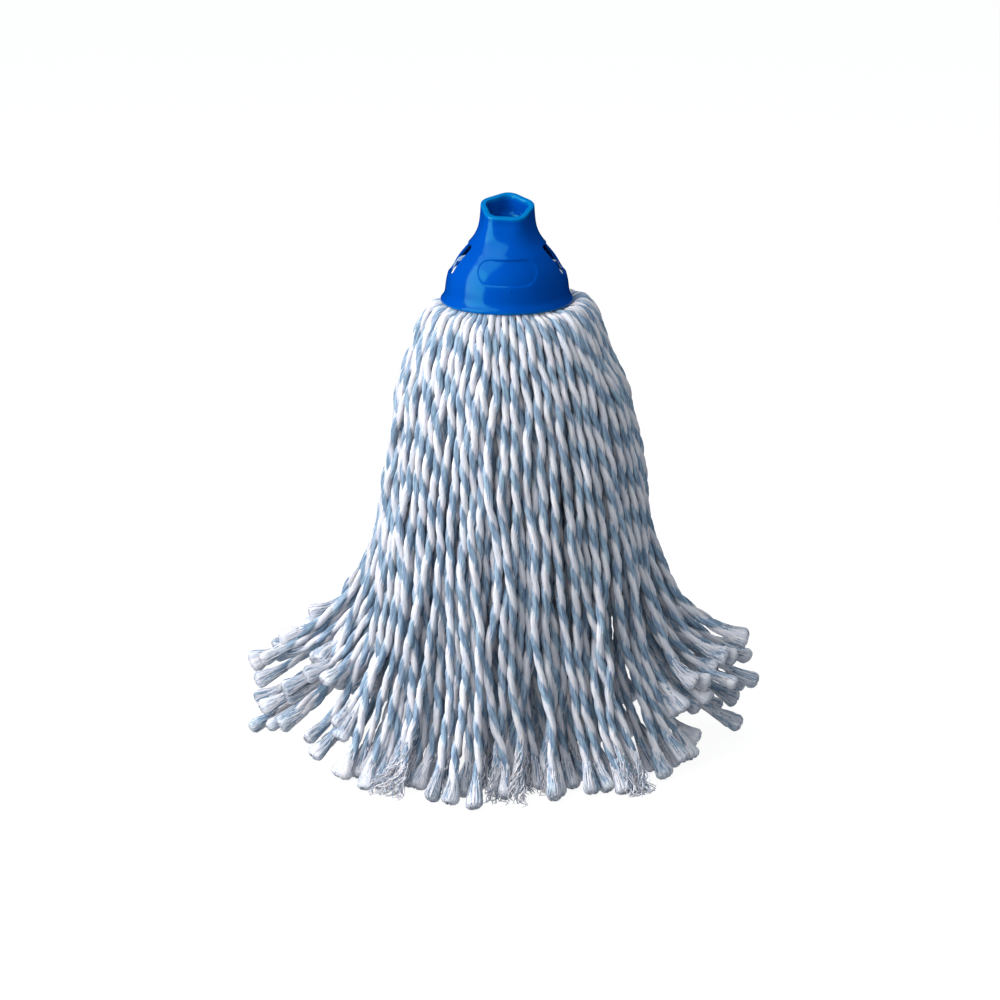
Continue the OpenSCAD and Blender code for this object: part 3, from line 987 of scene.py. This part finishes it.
def make_bell():
    """The socket as one closed skin, with a window cut through each side."""
    phi = bell_columns()
    columns = len(phi)
    rings, inner_start = bell_rings(phi)
    r = np.array([a[0] for a in rings])
    h = np.array([a[1] for a in rings])
    lean = np.array([a[2] for a in rings])[:, None]
    y = r * np.sin(phi)
    z = LIP_Z + h + lean * RIM_LEAN * y
    points = [np.stack([r * np.cos(phi), y, z], -1).reshape(-1, 3)]
    total = len(rings)
    k, c = np.meshgrid(np.arange(total), np.arange(columns), indexing="ij")
    k2, c2 = (k + 1) % total, (c + 1) % columns
    quads = np.stack([k * columns + c, k * columns + c2, k2 * columns + c2, k2 * columns + c], -1)
    shared = wall_heights()
    level = {i: inner_start + len(shared) - 1 - i for i in range(len(shared))}
    keep = np.ones((total, columns), bool)
    extra_faces, extra_points = [], []
    count = total * columns
    flat = points[0]
    for sign in (1, -1):
        mid_phi = (phi + np.roll(phi, -1)) / 2
        removed = {}
        for i in range(len(shared) - 1):
            mid_h = (shared[i] + shared[i + 1]) / 2
            mid_y = outer_radius(mid_h, mid_phi) * np.sin(mid_phi)
            right_side = np.cos(mid_phi) * sign > 0.5
            dy = np.abs(mid_y) - (WINDOW_W / 2 - WINDOW_ROUND)
            dz = abs(mid_h - WINDOW_H) - (WINDOW_TALL / 2 - WINDOW_ROUND)
            corner = np.hypot(np.maximum(dy, 0), max(dz, 0))
            sd = corner + np.minimum(np.maximum(dy, dz), 0) - WINDOW_ROUND
            for j in np.flatnonzero(right_side & (sd < 0.45)):
                removed[(i, int(j))] = True
        ahead = {}
        for i, j in removed:
            keep[i, j] = False
            keep[level[i + 1], j] = False
            j2 = (j + 1) % columns
            around = [((i, j), (i, j2), (i - 1, j)), ((i, j2), (i + 1, j2), (i, j2))]
            around += [((i + 1, j2), (i + 1, j), (i + 1, j))]
            around += [((i + 1, j), (i, j), (i, (j - 1) % columns))]
            for a, b, beside in around:
                if beside not in removed:
                    ahead[a] = b
        start = min(ahead)
        loop = [start]
        while ahead[loop[-1]] != start:
            loop.append(ahead[loop[-1]])
        outer = np.array([i * columns + j for i, j in loop])
        inner = np.array([level[i] * columns + j for i, j in loop])
        py, ph, ny, nh = round_box(flat[outer, 1], flat[outer, 2] - LIP_Z)
        bands = [outer]
        for out, deep in WINDOW_EDGE:
            by, bh = py + ny * out, ph + nh * out
            spot = np.stack([surface_x(by, bh, deep, sign), by, LIP_Z + bh], -1)
            if out == WINDOW_EDGE[0][0]:
                flat[outer if deep == 0 else inner] = spot
                if deep:
                    bands.append(inner)
                continue
            extra_points.append(spot)
            bands.append(np.arange(count, count + len(spot)))
            count += len(spot)
        for a, b in zip(bands, bands[1:]):
            extra_faces.append(np.stack([a, np.roll(a, -1), np.roll(b, -1), b], -1))
    points = np.concatenate([flat] + extra_points) * MM
    faces = np.concatenate([quads[keep]] + extra_faces)
    mesh = bpy.data.meshes.new("socket_moulding")
    mesh.from_pydata(points.tolist(), [], faces.tolist())
    mesh.update()
    mesh.validate()
    work = bmesh.new()
    work.from_mesh(mesh)
    bmesh.ops.recalc_face_normals(work, faces=work.faces)
    work.to_mesh(mesh)
    work.free()
    mesh.polygons.foreach_set("use_smooth", np.ones(len(mesh.polygons), bool))
    # Painted highlight: the rim's top face gets the paler cyan at full strength, the lowest edge of the lip about
    # half.
    high = np.array([v.co.z for v in mesh.vertices]) / MM - LIP_Z
    slope = np.array([v.co.y for v in mesh.vertices]) / MM * RIM_LEAN
    rim = smooth((high - slope - (RIM_Z - LIP_Z) + 1.6) / 1.4)
    lip = 0.55 * smooth((1.2 - high) / 1.2)
    rim_highlight_lip_pale = mesh.attributes.new("rim_highlight_lip_pale", "FLOAT", "POINT")
    rim_highlight_lip_pale.data.foreach_set("value", np.maximum(rim, lip).astype(np.float32))
    mesh.materials.append(SOCKET_PLASTIC)
    bell = bpy.data.objects.new("socket_moulding", mesh)
    bpy.context.scene.collection.objects.link(bell)
    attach(bell, "root")
    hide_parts("socket_bell")


def finish_retainer():
    """The retainer keeps its CAD shape, with softened edges and its own plastic."""
    retainer = frame["nodes"]["yarn_retainer"]
    for slot in retainer.material_slots:
        slot.material = RETAINER_PLASTIC
    soften = retainer.modifiers.new("soft_edges", "BEVEL")
    soften.width = 0.0004
    soften.segments = 2
    soften.limit_method = "ANGLE"
    soften.angle_limit = math.radians(50)


make_bell()
finish_retainer()
make_folds()
make_strands()
